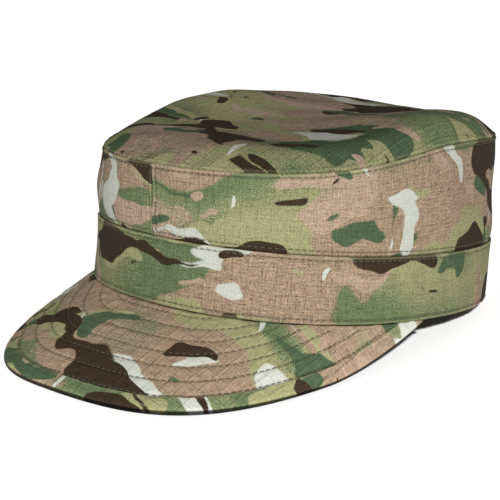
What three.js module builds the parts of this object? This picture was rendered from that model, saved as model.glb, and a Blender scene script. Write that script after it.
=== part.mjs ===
// Patrol cap: an oval top panel, a side wall in two halves, a doubled band and a stiff bill.
// It lies on a level surface as it would by itself, on the bill's front edge and the back of the band.
// Units are millimetres, +Z is up, the bill points to -Y and the wearer's left is +X.

import * as THREE from 'three';
import { mergeVertices } from 'three/addons/utils/BufferGeometryUtils.js';

// The band: an oval round the head, folded double, with a step inside its top that takes the crown's
// wall, and a softness by which its folded lower edge is rounded
const bandHalfLength = 103;
const bandHalfWidth = 91;
const ovalPower = 2.2;
const bandHeight = 30.5;
const bandWall = 2.6;
const bandStep = 10;
const bandSoftness = 0.65;

// The crown: its height is above the band's lower edge, the flares say how far its top seam lies outside
// its foot, and the blouse is how far the cloth swells out over the band
const crownWall = 1.2;
const crownHeight = 82;
const crownFlareLength = 5;
const crownFlareWidth = -4.8;
const crownBlouse = 1.5;
const topRise = 12;

// The top panel follows its seam's height near the rim and a flat sheet in the middle: the power says how
// fast it lets go of the seam, and the share is how far in the seam still holds the cloth's dents down
const rimPower = 1.5;
const rimShare = 0.3;

// The bill: its length is the plan distance from the front of the band. The overhang is how far its ends
// stand out past the band, and its wall thins towards the ends by the taper's power
const billLength = 56.5;
const billWall = 2.8;
const billEndWall = 1.4;
const billOverhang = 1;
const billCornerPower = 2.6;
const billEndAngle = 81;
const billCrown = 1.5;
const billTaperPower = 3;

// The bill's front edge lies on the surface, with its upper face at a share of the wall, and lifts to the
// band from a share of the way to each end, by a power
const billEdgeShare = 0.75;
const billLiftStart = 0.6;
const billLiftPower = 1.5;

// How the pieces meet, and how the cap lies
const seamGap = 0.3;
const restTilt = 7.4;
const restFlat = 0.8;

// The crown's foot and its top seam, as half sizes of their ovals
const footInset = bandWall - crownWall;
const footHalfLength = bandHalfLength - footInset;
const footHalfWidth = bandHalfWidth - footInset;
const rimHalfLength = footHalfLength + crownFlareLength;
const rimHalfWidth = footHalfWidth + crownFlareWidth;

// How finely the surfaces are divided
const bandSteps = 96;
const sideSteps = 40;
const topSteps = 80;
const billSteps = 52;
const normalStep = 1e-4;
const weldDistance = 1e-4;
const leastArea = 1e-6;

// The cloth's colours on the pieces, where no pattern is drawn
const clothRoughness = 0.95;
const bandColor = 0x93896a;
const sideLeftColor = 0x8f8d62;
const sideRightColor = 0x8a8a60;
const topColor = 0x7d7253;
const billColor = 0x857659;

// By the angle round the head from the front: the height of the top seam as a share of crownHeight, and
// how full the top panel is just inside it, as a share of topRise
const seamRows = [
  { around: 0, height: 0.768, fullness: 0.85 },
  { around: 45, height: 0.811, fullness: 0.8 },
  { around: 90, height: 0.968, fullness: 1.16 },
  { around: 135, height: 1.0, fullness: 0.98 },
  { around: 180, height: 0.985, fullness: 0.65 },
];

// The levels of the crown's side that are worked out: -1 is its foot inside the band, 0 the band's top
// edge and 1 the top seam
const sideLevels = [-1, 0, 0.06, 0.18, 0.34, 0.5, 0.67, 0.84, 1];

// The shares of the bill's length that are worked out, from the band to the bill's edge
const billShares = [0, 0.15, 0.35, 0.55, 0.75, 0.9, 1];

// The top panel from its seam to its middle: the way in as a share of the half size, and the rise as a
// share of topRise above a sheet that runs from the seam's own height to the level of the middle
const topRows = [
  { inward: 0, rise: 0 },
  { inward: 0.03, rise: 0.25 },
  { inward: 0.065, rise: 0.5 },
  { inward: 0.11, rise: 0.76 },
  { inward: 0.17, rise: 0.94 },
  { inward: 0.26, rise: 1.03 },
  { inward: 0.45, rise: 1.1 },
  { inward: 0.7, rise: 1.11 },
  { inward: 1, rise: 1.08 },
];

// Soft dents in the crown's side: angle round the head, share of the wall's height, their reaches, and
// the depth as a share of crownWall, negative where the cloth stands out
const sideDents = [
  { around: 14, up: 0.55, reachAround: 16, reachUp: 0.5, depth: 1.0 },
  { around: 58, up: 0.2, reachAround: 18, reachUp: 0.3, depth: 1.1 },
  { around: 84, up: 0.55, reachAround: 20, reachUp: 0.4, depth: -0.9 },
  { around: 118, up: 0.35, reachAround: 16, reachUp: 0.35, depth: 0.9 },
  { around: 160, up: 0.6, reachAround: 18, reachUp: 0.4, depth: -0.8 },
  { around: -38, up: 0.5, reachAround: 20, reachUp: 0.4, depth: -0.8 },
  { around: -95, up: 0.4, reachAround: 22, reachUp: 0.4, depth: 1.1 },
  { around: -150, up: 0.5, reachAround: 20, reachUp: 0.4, depth: 0.8 },
];

// Soft dents in the top panel: place as shares of the half width and half length, reach as a share of the
// half width, and depth as a share of topRise
const topDents = [
  { across: 0.3, along: -0.3, reach: 0.42, depth: 0.14 },
  { across: -0.2, along: 0.1, reach: 0.45, depth: 0.1 },
  { across: 0.38, along: 0.5, reach: 0.3, depth: -0.1 },
];

const degree = Math.PI / 180;
const down = new THREE.Vector3(0, 0, -1);

// Point of an oval at an angle from the front, positive towards +X
function oval(halfLength, halfWidth, angle) {
  const across = Math.sin(angle);
  const along = -Math.cos(angle);
  const sum = Math.abs(across / halfWidth) ** ovalPower + Math.abs(along / halfLength) ** ovalPower;
  const radius = sum ** (-1 / ovalPower);
  return new THREE.Vector2(across * radius, along * radius);
}

// Value of a table's column between its rows, on a curve that is level at the front and the back of the
// head
function aroundHead(rows, column, angle) {
  const turned = Math.abs(THREE.MathUtils.euclideanModulo(angle / degree + 180, 360) - 180);
  const last = rows.length - 1;
  const step = rows[last].around / last;
  const row = Math.min(Math.floor(turned / step), last - 1);
  const value = (i) => rows[i < 0 ? -i : i > last ? 2 * last - i : i][column];
  const t = turned / step - row;
  const slopeIn = (value(row + 1) - value(row - 1)) / 2;
  const slopeOut = (value(row + 2) - value(row)) / 2;
  const rise = value(row + 1) - value(row);
  const square = 3 * rise - 2 * slopeIn - slopeOut;
  const cube = slopeIn + slopeOut - 2 * rise;
  return value(row) + t * slopeIn + t ** 2 * square + t ** 3 * cube;
}

// Value of the top panel's rise at a share of the way in, straight between the rows
function topRiseAt(inward) {
  const next = Math.max(1, topRows.findIndex((row) => row.inward >= inward));
  const [from, to] = [topRows[next - 1], topRows[next]];
  return THREE.MathUtils.mapLinear(inward, from.inward, to.inward, from.rise, to.rise) * topRise;
}

// From the cap's own frame, level with the band, to the lie of the cap on its surface: it turns about the
// back of the band's lower edge, which goes into the surface by restFlat, and what would be lower is
// pressed flat
function lay(x, y, z) {
  const tilt = restTilt * degree;
  const back = y - bandHalfLength;
  const height = z * Math.cos(tilt) - back * Math.sin(tilt) - restFlat;
  const along = bandHalfLength + back * Math.cos(tilt) + z * Math.sin(tilt);
  return new THREE.Vector3(x, along, Math.max(height, 0));
}

// Height of the top seam above the band's lower edge
const seamHeight = (angle) => crownHeight * aroundHead(seamRows, 'height', angle);

// Outer face of the crown's side at an angle and a level, which sideLevels explains
function crownSide(angle, level) {
  const foot = oval(footHalfLength, footHalfWidth, angle);
  const rim = oval(rimHalfLength, rimHalfWidth, angle);
  const free = Math.max(level, 0);
  const height = level < 0
    ? bandHeight + level * (bandStep - seamGap)
    : THREE.MathUtils.lerp(bandHeight, seamHeight(angle), level);
  const plan = foot.clone().lerp(rim, free);
  let depth = 0;
  for (const dent of sideDents) {
    const turned = THREE.MathUtils.euclideanModulo(angle / degree - dent.around + 180, 360) - 180;
    const near = (turned / dent.reachAround) ** 2 + ((free - dent.up) / dent.reachUp) ** 2;
    depth += dent.depth * crownWall * Math.exp(-near);
  }
  const swell = crownBlouse * Math.sin(Math.PI * Math.sqrt(free));
  const held = Math.sin(Math.PI * free);
  plan.multiplyScalar(1 + (swell - depth * held) / plan.length());
  return lay(plan.x, plan.y, height);
}

// Outer face of the top panel at an angle and a share of the way in from its seam to the middle
function crownTop(angle, inward) {
  const plan = oval(rimHalfLength, rimHalfWidth, angle).multiplyScalar(1 - inward);
  const front = seamHeight(0);
  const back = seamHeight(Math.PI);
  const sheet = (front + back) / 2 + ((back - front) / 2) * (plan.y / bandHalfLength);
  const nearRim = (1 - inward) ** rimPower;
  const base = THREE.MathUtils.lerp(sheet, seamHeight(angle), nearRim);
  const fullness = THREE.MathUtils.lerp(1, aroundHead(seamRows, 'fullness', angle), nearRim);
  let depth = 0;
  for (const dent of topDents) {
    const dx = plan.x / bandHalfWidth - dent.across;
    const dy = (plan.y / bandHalfLength - dent.along) * (bandHalfLength / bandHalfWidth);
    depth += dent.depth * topRise * Math.exp(-(dx * dx + dy * dy) / dent.reach ** 2);
  }
  const held = THREE.MathUtils.smoothstep(inward, 0, rimShare);
  return lay(plan.x, plan.y, base + seamGap + topRiseAt(inward) * fullness - depth * held);
}

// Upper face of the bill: across runs from -1 to 1 between its ends, and out from 0 at the band to 1 at
// its edge. Straight lines join the band's lower edge to a squarish oval on the surface, with a little
// crown on them
function billTop(across, out) {
  const endAngle = billEndAngle * degree;
  const root = oval(bandHalfLength, bandHalfWidth, across * endAngle);
  const from = lay(root.x, root.y, -seamGap);
  const end = oval(bandHalfLength, bandHalfWidth, endAngle);
  const middle = lay(end.x, end.y, -seamGap).y;
  const front = lay(0, -bandHalfLength, 0).y - billLength;
  const turn = (across * Math.PI) / 2;
  const wide = Math.abs(Math.sin(turn) / (end.x + billOverhang)) ** billCornerPower;
  const long = Math.abs(Math.cos(turn) / (middle - front)) ** billCornerPower;
  const radius = (wide + long) ** (-1 / billCornerPower);
  const towardsEnd = (Math.abs(across) - billLiftStart) / (1 - billLiftStart);
  const lift = THREE.MathUtils.clamp(towardsEnd, 0, 1) ** billLiftPower;
  const edgeHeight = THREE.MathUtils.lerp(billWall * billEdgeShare, from.z, lift);
  const edge = new THREE.Vector3(Math.sin(turn) * radius, middle - Math.cos(turn) * radius, edgeHeight);
  const point = from.lerp(edge, out);
  point.z += billCrown * 4 * out * (1 - out) * (1 - lift);
  return point;
}

// Direction out of a surface at a point, from two short steps along it; turned says which way out is
function normalAt(surface, a, b, turned) {
  const alongA = surface(a + normalStep, b).sub(surface(a - normalStep, b));
  const lowB = Math.min(b, 1 - normalStep);
  const highB = lowB + normalStep;
  const alongB = surface(a, highB).sub(surface(a, lowB));
  return alongA.cross(alongB).multiplyScalar(turned).normalize();
}

// A closed solid from rows of points: each row is one section's outline, and rows follow each other.
// Where the rows don't run round in a ring, the first and last are closed by quads between their outer
// and inner points
function solid(name, rows, { ring, material }) {
  const count = rows.length;
  const points = rows[0].length;
  const triangles = [];
  const corner = (i, j) => rows[i % count][j % points];
  const quad = (a, b, c, d) => triangles.push([a, b, c], [a, c, d]);
  for (let i = 0; i < (ring ? count : count - 1); i += 1) {
    for (let j = 0; j < points; j += 1) {
      quad(corner(i, j), corner(i + 1, j), corner(i + 1, j + 1), corner(i, j + 1));
    }
  }
  if (!ring) {
    const last = count - 1;
    for (let j = 0; j < points / 2 - 1; j += 1) {
      quad(corner(0, j), corner(0, j + 1), corner(0, points - 2 - j), corner(0, points - 1 - j));
      quad(corner(last, points - 1 - j), corner(last, points - 2 - j), corner(last, j + 1), corner(last, j));
    }
  }
  const area = (t) => new THREE.Triangle(...t).getArea();
  const kept = triangles.filter((t) => area(t) > leastArea);
  const volume = kept.reduce((sum, [a, b, c]) => sum + a.dot(b.clone().cross(c)), 0);
  const outwards = kept.map(([a, b, c]) => (volume > 0 ? [a, b, c] : [a, c, b]));
  const flat = outwards.flat().flatMap((point) => point.toArray());
  const loose = new THREE.BufferGeometry();
  loose.setAttribute('position', new THREE.Float32BufferAttribute(flat, 3));
  const geometry = mergeVertices(loose, weldDistance);
  geometry.computeVertexNormals();
  const mesh = new THREE.Mesh(geometry, material);
  mesh.name = name;
  return mesh;
}

function cloth(color) {
  return new THREE.MeshStandardMaterial({ color, roughness: clothRoughness, metalness: 0 });
}

// The band's section runs up its outer face, over the top, down to the step, in, and down its inner face
function makeBand() {
  const lip = footInset - seamGap;
  const step = bandHeight - bandStep;
  const softTop = lip / 3;
  const section = [
    { inset: 0, height: bandSoftness },
    { inset: 0, height: step },
    { inset: 0, height: bandHeight - softTop },
    { inset: softTop, height: bandHeight },
    { inset: lip, height: bandHeight },
    { inset: lip, height: step },
    { inset: bandWall, height: step },
    { inset: bandWall, height: bandSoftness },
    { inset: bandWall - bandSoftness / 2, height: 0 },
    { inset: bandSoftness / 2, height: 0 },
  ];
  const rows = [];
  for (let i = 0; i < bandSteps; i += 1) {
    const angle = (i / bandSteps) * 2 * Math.PI;
    rows.push(section.map(({ inset, height }) => {
      const plan = oval(bandHalfLength - inset, bandHalfWidth - inset, angle);
      return lay(plan.x, plan.y, height);
    }));
  }
  return solid('band', rows, { ring: true, material: cloth(bandColor) });
}

// One half of the crown's side: side is 1 for the wearer's left and -1 for the right
function makeCrownSide(name, side, color) {
  const half = seamGap / 2 / bandHalfLength;
  const rows = [];
  for (let i = 0; i <= sideSteps; i += 1) {
    const angle = side * THREE.MathUtils.lerp(half, Math.PI - half, i / sideSteps);
    const outer = sideLevels.map((level) => crownSide(angle, level));
    const inner = sideLevels.map((level, j) => {
      const inwards = normalAt(crownSide, angle, level, -1);
      inwards.z = Math.abs(level) === 1 || level === 0 ? 0 : inwards.z;
      return outer[j].clone().addScaledVector(inwards.normalize(), crownWall);
    });
    rows.push([...outer, ...inner.reverse()]);
  }
  return solid(name, rows, { ring: false, material: cloth(color) });
}

// The top panel: one closed skin from the middle out to its rim and back below to the middle
function makeCrownTop() {
  const rows = [];
  for (let i = 0; i < topSteps; i += 1) {
    const angle = (i / topSteps) * 2 * Math.PI;
    const outer = topRows.map((row) => crownTop(angle, row.inward));
    const inner = topRows.map(({ inward }, j) => {
      const inwards = inward === 1 ? down.clone() : normalAt(crownTop, angle, inward, -1);
      inwards.z = inward === 0 ? 0 : inwards.z;
      return outer[j].clone().addScaledVector(inwards.normalize(), crownWall);
    });
    rows.push([...outer.reverse(), ...inner]);
  }
  return solid('crown_top', rows, { ring: true, material: cloth(topColor) });
}

// The bill: its upper face and its underside, which is pressed flat where it meets the surface. A tongue
// of it reaches in below the band's lower edge
function makeBill() {
  const endAngle = billEndAngle * degree;
  const rows = [];
  for (let i = 0; i <= billSteps; i += 1) {
    const across = (i / billSteps) * 2 - 1;
    const tongue = oval(bandHalfLength - bandWall, bandHalfWidth - bandWall, across * endAngle);
    const wall = THREE.MathUtils.lerp(billWall, billEndWall, Math.abs(across) ** billTaperPower);
    const upper = [lay(tongue.x, tongue.y, -seamGap), ...billShares.map((out) => billTop(across, out))];
    const lower = upper.map((point, j) => {
      const outwards = j < 2 ? down : normalAt(billTop, across, billShares[j - 1], 1);
      const under = point.clone().addScaledVector(outwards, wall);
      under.z = Math.max(under.z, 0);
      return under;
    });
    rows.push([...upper, ...lower.reverse()]);
  }
  return solid('bill', rows, { ring: false, material: cloth(billColor) });
}

const cap = new THREE.Group();
cap.add(
  makeBand(),
  makeCrownSide('crown_side_left', 1, sideLeftColor),
  makeCrownSide('crown_side_right', -1, sideRightColor),
  makeCrownTop(),
  makeBill(),
);

// The origin is on the surface, under the middle of the cap's outline
const outline = new THREE.Box3().setFromObject(cap);
cap.position.y = -(outline.min.y + outline.max.y) / 2;

export default cap;
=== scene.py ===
# Patrol cap of printed ripstop cloth: the cloth, the stitching and a plain stage, around its solid model.
# Everything is in metres, +Z is up, the bill points to -Y and the wearer's left is +X.

import math
from collections import namedtuple

import bpy
import numpy as np
from bpy.props import FloatProperty, FloatVectorProperty, IntProperty, PointerProperty
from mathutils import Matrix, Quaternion, Vector


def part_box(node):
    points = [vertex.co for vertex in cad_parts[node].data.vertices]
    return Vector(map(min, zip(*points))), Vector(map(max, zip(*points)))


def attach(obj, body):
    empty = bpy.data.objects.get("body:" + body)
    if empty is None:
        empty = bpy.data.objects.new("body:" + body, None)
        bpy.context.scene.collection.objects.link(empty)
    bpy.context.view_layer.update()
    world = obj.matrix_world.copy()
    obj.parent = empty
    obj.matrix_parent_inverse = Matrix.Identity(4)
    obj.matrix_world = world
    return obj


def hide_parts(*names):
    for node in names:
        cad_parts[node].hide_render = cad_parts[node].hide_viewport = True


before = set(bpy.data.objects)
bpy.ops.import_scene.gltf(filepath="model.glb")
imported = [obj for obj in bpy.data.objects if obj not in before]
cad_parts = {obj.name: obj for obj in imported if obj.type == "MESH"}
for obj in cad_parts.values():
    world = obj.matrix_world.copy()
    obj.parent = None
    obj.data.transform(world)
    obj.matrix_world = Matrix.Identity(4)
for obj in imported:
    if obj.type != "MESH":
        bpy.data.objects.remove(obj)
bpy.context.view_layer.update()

bl_info = {
    "name": "Patrol Cap",
    "version": (1, 0, 0),
    "blender": (4, 5, 0),
    "location": "View3D > Sidebar > Cap",
    "description": "Builds a patrol cap of printed ripstop cloth, its stitching and a plain stage",
    "category": "Add Mesh",
}

BODY = "root"
DEGREE = math.pi / 180

# By the angle round the head from the front, in degrees: the top seam's height as a share of the crown's
# height, and how full the top panel is just inside it
SEAM_ROWS = {
    "around": (0, 45, 90, 135, 180),
    "height": (0.768, 0.811, 0.968, 1.0, 0.985),
    "fullness": (0.85, 0.8, 1.16, 0.98, 0.65),
}

# The top panel from its seam to its middle: the way in as a share of the half size, and its rise as a share
# of the top's rise
TOP_ROWS = {
    "inward": (0, 0.03, 0.065, 0.11, 0.17, 0.26, 0.45, 0.7, 1),
    "rise": (0, 0.25, 0.5, 0.76, 0.94, 1.03, 1.1, 1.11, 1.08),
}

Dent = namedtuple("Dent", "around up reach_around reach_up depth")
TopDent = namedtuple("TopDent", "across along reach depth")
Bell = namedtuple("Bell", "height middle width")
Puckers = namedtuple("Puckers", "seed reach wavelength")
Waves = namedtuple("Waves", "seed height wavelength")
CreaseShade = namedtuple("CreaseShade", "strength width")
Cut = namedtuple("Cut", "seed lengthways across lines tone")

# Soft dents in the crown's side: angle round the head in degrees, share of the wall's height, their
# reaches, and the depth as a share of the crown's wall, negative where the cloth stands out
SIDE_DENTS = (
    Dent(14, 0.55, 16, 0.5, 1.0),
    Dent(58, 0.2, 18, 0.3, 1.1),
    Dent(84, 0.55, 20, 0.4, -0.9),
    Dent(118, 0.35, 16, 0.35, 0.9),
    Dent(160, 0.6, 18, 0.4, -0.8),
    Dent(-38, 0.5, 20, 0.4, -0.8),
    Dent(-95, 0.4, 22, 0.4, 1.1),
    Dent(-150, 0.5, 20, 0.4, 0.8),
)

# Soft dents in the top panel: place as shares of the half width and half length, reach as a share of the
# half width, and depth as a share of the top's rise
TOP_DENTS = (
    TopDent(0.3, -0.3, 0.42, 0.14),
    TopDent(-0.2, 0.1, 0.45, 0.1),
    TopDent(0.38, 0.5, 0.3, -0.1),
)

# Leans of the top's fullness, as shares, with their place and width in degrees round the head
TOP_LEANS = (Bell(0.27, 202, 30), Bell(-0.17, 152, 16))

# How far the cloth stands up beside an edge, or down at the band's join, how far from it and how wide
RIDGES = {
    "top panel": Bell(0.0003, 0.0014, 0.001),
    "top seam": Bell(0.00034, 0.0009, 0.0007),
    "upright seam": Bell(0.0003, 0.001, 0.0007),
    "band top": Bell(0.0002, 0.0009, 0.0007),
    "band foot": Bell(0.0002, 0.0011, 0.0008),
    "band join": Bell(0.0004, 0, 0.0005),
    "bill edge": Bell(0.0002, 0.0045, 0.003),
}

# How strongly a folded edge shows its paler tone, partly wear and partly painted highlight, how far from
# the edge and how wide
FOLDS = {
    "top panel": Bell(0.5, 0.0008, 0.0009),
    "top seam": Bell(0.8, 0.0004, 0.0006),
    "upright seam": Bell(0.35, 0.0005, 0.0005),
    "band top": Bell(1, 0.0003, 0.0007),
    "band foot": Bell(1, 0.0006, 0.0008),
}

# Painted shade in the creases of a row of stitches or, where it is called a line, in the seam itself
CREASE_SHADES = {
    "top line": CreaseShade(1, 0.0006),
    "top seam": CreaseShade(0.75, 0.00045),
    "upright seam": CreaseShade(0.4, 0.0004),
    "upright line": CreaseShade(1, 0.0003),
    "band seam": CreaseShade(0.4, 0.00045),
    "band line": CreaseShade(1, 0.0006),
    "band top": CreaseShade(0.6, 0.00045),
    "band foot": CreaseShade(0.6, 0.0005),
    "band join": CreaseShade(1, 0.0005),
    "hem": CreaseShade(0.7, 0.0005),
}

# Small waves beside rows of stitches, and soft waves in the cloth, the bill's in heights of its puckers
PUCKERS = {
    "top panel": Puckers(3, 0.006, 0.011),
    "top seam": Puckers(11, 0.005, 0.009),
    "band seam": Puckers(21, 0.004, 0.009),
    "upright seam": Puckers(31, 0.004, 0.008),
    "band top": Puckers(51, 0.004, 0.008),
    "band foot": Puckers(52, 0.004, 0.008),
    "bill rows": Puckers(62, 0.003, 0.007),
}
WAVES = {
    "top panel": Waves(5, 0.0004, 0.038),
    "side": Waves(41, 0.00045, 0.03),
    "band": Waves(53, 0.00018, 0.024),
    "bill": Waves(61, 1, 0.009),
}

# How high the top's puckers and the bill's waves are, in puckers
TOP_PUCKERS = 1.6
BILL_PUCKERS = 0.9

# Widths of the grooves that rows of stitches pull in, and how deep the one above the band is, as a share
GROOVE = 0.0005
BAND_LOW_GROOVE = 0.0006
BILL_GROOVE = 0.00065
LOW_SINK = 0.8

# The bill's hem: half the width of its step, the share of paler fold tone on it, partly wear and partly
# painted highlight, and how far in its line of painted shade lies; how dark the painted shade in the
# quilting's creases is; and how far from the band a row of stitches ends
HEM_SOFT = 0.0004
HEM_FOLD = 0.8
HEM_LINE = 0.0005
QUILT_CREASE_SHADE = 0.5
ROW_END = 0.0015

# The columns between the side's upright seams, and an upright row's lowest and highest level and its points
SEAM_ENDS = slice(12, -12)
UPRIGHT_ROW = (0.02, 0.97, 60)

# Distances over which an effect comes in, from none to all of it
FADES = {
    "top waves": (0.004, 0.02),
    "side out of the band": (-0.001, 0.002),
    "side waves at the top": (0, 0.01),
    "side waves at the band": (0, 0.008),
    "bill stitches": (0.0005, 0.003),
    "bill waves": (0, 0.006),
    "bill hem": (0, 0.002),
    "shade on the edge": (0.0004, 0.0011),
    "shade under the edge": (0.003, 0.007),
}

# The side's height as its puckers, its waves and its print take it
SIDE_SPANS = {"puckers": 0.04, "waves": 0.045, "print": 0.041}

# Each panel's cut of the printed cloth: its place, how strongly the ripstop lines show, and its tone
CUTS = {
    "top_cloth": Cut(27.9, 0.31, 0.12, 0.2, 1),
    "side_left_cloth": Cut(41.7, 0.05, 0.34, 0.1, 1),
    "side_right_cloth": Cut(34.9, 0.4, 0.7, 0.1, 1),
    "band_print": Cut(40.9, 0.27, 0.52, 0.1, 1),
    # The bill's tone of 1.45 is painted light: the bill is drawn lighter for how the light falls on it
    "bill_print": Cut(41.5, 0.14, 0.2, 0.24, 1.45),
}


def length(name, default, description):
    """A property that holds a length in metres."""
    return FloatProperty(name=name, description=description, default=default, precision=5, unit="LENGTH")


def share(name, default, description):
    """A property that holds a plain number, such as a share or a power."""
    return FloatProperty(name=name, description=description, default=default, precision=3)


def turn(name, default, description):
    """A property that holds an angle, given here in degrees."""
    return FloatProperty(name=name, description=description, default=default * DEGREE, unit="ROTATION")


def tint(name, default, description):
    """A property that holds a linear colour."""
    return FloatVectorProperty(
        name=name, description=description, default=default, size=3, min=0, max=1, subtype="COLOR"
    )


class CapSizes(bpy.types.PropertyGroup):
    """The cap's sizes."""

    band_half_length: length("Band half length", 0.103, "Half of its length, outside")
    band_half_width: length("Band half width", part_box("band")[1].x, "Half of its width, outside")
    oval_power: share("Oval power", 2.2, "How square the oval round the head is; 2 is an ellipse")
    band_height: length("Band height", 0.0305, "Height of the folded band")
    band_wall: length("Band wall", 0.0026, "Thickness of the folded band")
    band_step: length("Band step", 0.010, "How far the crown reaches down inside the band")
    crown_wall: length("Crown wall", 0.0012, "Thickness of the crown's cloth with its seam allowance")
    crown_height: length("Crown height", 0.082, "Height of the top seam at its highest")
    flare_length: length("Lengthways flare", 0.005, "How much longer than its foot the crown is, each way")
    flare_width: length("Sideways flare", -0.0048, "How much wider than its foot the crown is, each way")
    blouse: length("Blouse", 0.0015, "How far the crown swells out over the band")
    top_rise: length("Top rise", 0.012, "How far the top panel rises above its seam")
    rim_power: share("Rim power", 1.5, "How fast the top panel lets go of its seam's height")
    rim_share: share("Rim share", 0.3, "How far in the seam still holds the top panel's dents down")
    bill_length: length("Bill length", 0.0590, "Plan length of the bill from the front of the band")
    bill_wall: length("Bill wall", 0.0028, "Thickness of the bill at its middle")
    bill_end_wall: length("Bill end wall", 0.0014, "Thickness of the bill at its ends")
    bill_taper: share("Bill taper", 3, "How late the bill thins towards its ends")
    bill_overhang: length("Bill overhang", 0.0035, "How far the bill bulges out past the band")
    bill_corner: share("Bill corner power", 3.4, "How square the bill's outline is on the wearer's left")
    bill_far_corner: share("Far corner power", 1.75, "How square it is on the wearer's right")
    bill_far_overhang: length("Far overhang", 0.010, "How much more it bulges on the wearer's right")
    bill_lean: length("Bill lean", -0.005, "How far the bill's edge is pushed to the wearer's left")
    bill_end: turn("Bill end angle", 81, "Where the bill ends, from the front")
    bill_crown: length("Bill crown", 0.0015, "How far the bill bulges up in its middle")
    bill_edge: share("Bill edge share", 0.75, "Height of the bill's upper edge as a share of its wall")
    bill_lift_start: share("Bill lift start", 0.6, "Where the bill's edge leaves the surface")
    bill_lift_power: share("Bill lift power", 1.5, "How the bill's edge leaves the surface")
    seam_gap: length("Seam gap", 0.0003, "Gap between pieces that meet")
    rest_tilt: turn("Rest tilt", 7.4, "How far the cap tips back as it lies")
    rest_flat: length("Rest flat", 0.0008, "How much of the band's back edge is pressed flat")


class StitchSizes(bpy.types.PropertyGroup):
    """Where the cap is stitched, and with what."""

    pitch: length("Stitch pitch", 0.003, "From one stitch to the next")
    stitch: length("Stitch length", 0.0022, "Length of one stitch on the face")
    thread: length("Thread radius", 0.00020, "Radius of the sewing thread")
    seam_row: length("Seam row", 0.0020, "From a seam to the row of stitches beside it")
    band_top_row: length("Band top row", 0.0019, "From the band's top fold down to its stitches")
    band_low_row: length("Band lower row", 0.0023, "From the band's lower fold up to its stitches")
    bill_first_row: length("Bill first row", 0.0092, "From the bill's edge to its first row of stitches")
    hem_row: length("Hem row", 0.0012, "From the bill's first stitches out to its hem's border")
    hem_step: length("Hem step", 0.0004, "How far the bill's hem stands up")
    bill_row: length("Bill row spacing", 0.0086, "From one row of stitches on the bill to the next")
    bill_rows: IntProperty(name="Bill rows", description="Rows of stitches on the bill", default=7)
    sink: length("Stitch sink", 0.00038, "How deep a row of stitches pulls the cloth in")
    pucker: length("Pucker", 0.00016, "How far the cloth puckers along a row of stitches")


class ClothLooks(bpy.types.PropertyGroup):
    """The cloth's colours and weave."""

    ground: tint("Ground", (0.197, 0.193, 0.096), "Light olive ground of the print")
    tan: tint("Tan", (0.205, 0.146, 0.099), "Tan patches")
    pale: tint("Pale tan", (0.249, 0.181, 0.129), "Pale patches")
    green: tint("Green", (0.076, 0.103, 0.050), "Green areas with soft edges")
    leaf: tint("Leaf green", (0.044, 0.070, 0.035), "Small hard green spots")
    dark: tint("Dark brown", (0.0270, 0.0172, 0.0102), "Dark brown blobs")
    light: tint("Off-white", (0.335, 0.344, 0.301), "Off-white patches")
    # Colour that folded edges are mixed towards: partly wear and partly a painted highlight on the fold's
    # ridge
    wear_and_highlight: tint("Folded edge", (0.30, 0.275, 0.15), "Cloth where it folds over a seam")
    thread: tint("Thread", (0.058, 0.052, 0.030), "Sewing thread")
    cell: length("Ripstop cell", 0.0066, "From one heavy thread of the ripstop to the next")
    yarn: length("Yarn width", 0.00068, "How wide the uneven yarns show")


class StageLooks(bpy.types.PropertyGroup):
    """The camera, the lights and the floor."""

    lens: share("Lens", 90.72, "Focal length in millimetres on a 36 mm sensor")
    azimuth: turn("Azimuth", 41.838, "Camera's bearing from the front to the wearer's left")
    elevation: turn("Elevation", 14.905, "Camera's height above the horizon")
    roll: turn("Roll", -0.441, "Camera's roll")
    distance: length("Distance", 0.62026, "From the camera to the point that it aims at")
    aim: FloatVectorProperty(
        name="Aim", description="Point that the camera aims at", size=3, unit="LENGTH",
        default=(-0.00296, -0.00816, 0.03458),
    )
    key: share("Key light", 4.9, "Strength of the soft light beside the camera, in W/m2")
    key_side: turn("Key side", 2, "How far the key light stands to the camera's right")
    key_height: turn("Key height", 16.5, "The key light's height above the horizon")
    key_softness: turn("Key softness", 24, "How wide the key light looks from the cap")
    floor_light: share("Floor light", 6.4, "Strength of the light on the floor, in W/m2")
    floor_height: turn("Floor light height", 28, "The floor light's height above the horizon")
    sky: share("Surrounding light", 0.25, "Strength of the light from all round")
    floor: tint("Floor", (0.9, 0.9, 0.9), "Colour of the floor")


# Shapes


def through(stops, values, at, level_ends=False):
    """A smooth curve through rows: between two, a cubic with their values and, at each, a parabola's slope
    through its neighbours, or none at the ends with level_ends."""
    stops = np.asarray(stops, float)
    values = np.asarray(values, float)
    slopes = np.gradient(values, stops)
    if level_ends:
        slopes[0] = slopes[-1] = 0
    row = np.clip(np.searchsorted(stops, at, side="right") - 1, 0, len(stops) - 2)
    gap = stops[row + 1] - stops[row]
    t = (at - stops[row]) / gap
    start = (1 + 2 * t) * (1 - t) ** 2 * values[row] + t * (1 - t) ** 2 * gap * slopes[row]
    end = t**2 * (3 - 2 * t) * values[row + 1] + t**2 * (t - 1) * gap * slopes[row + 1]
    return start + end


def around_head(column, angle):
    """A column of SEAM_ROWS at an angle, the same left and right, and level at the front and back."""
    return through(SEAM_ROWS["around"], SEAM_ROWS[column], np.abs(turned_from(angle, 0)), level_ends=True)


def smoothstep(value, low, high):
    """0 below low, 1 above high, and 3t^2 - 2t^3 between."""
    t = np.clip((value - low) / (high - low), 0, 1)
    return t * t * (3 - 2 * t)


def bump(value, middle, width):
    """A bell: e to the minus square of the way from the middle, in widths."""
    return np.exp(-(((value - middle) / width) ** 2))


def bell(value, row):
    """A bell with the height, middle and width of a table's row."""
    return row.height * bump(value, row.middle, row.width)


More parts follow.
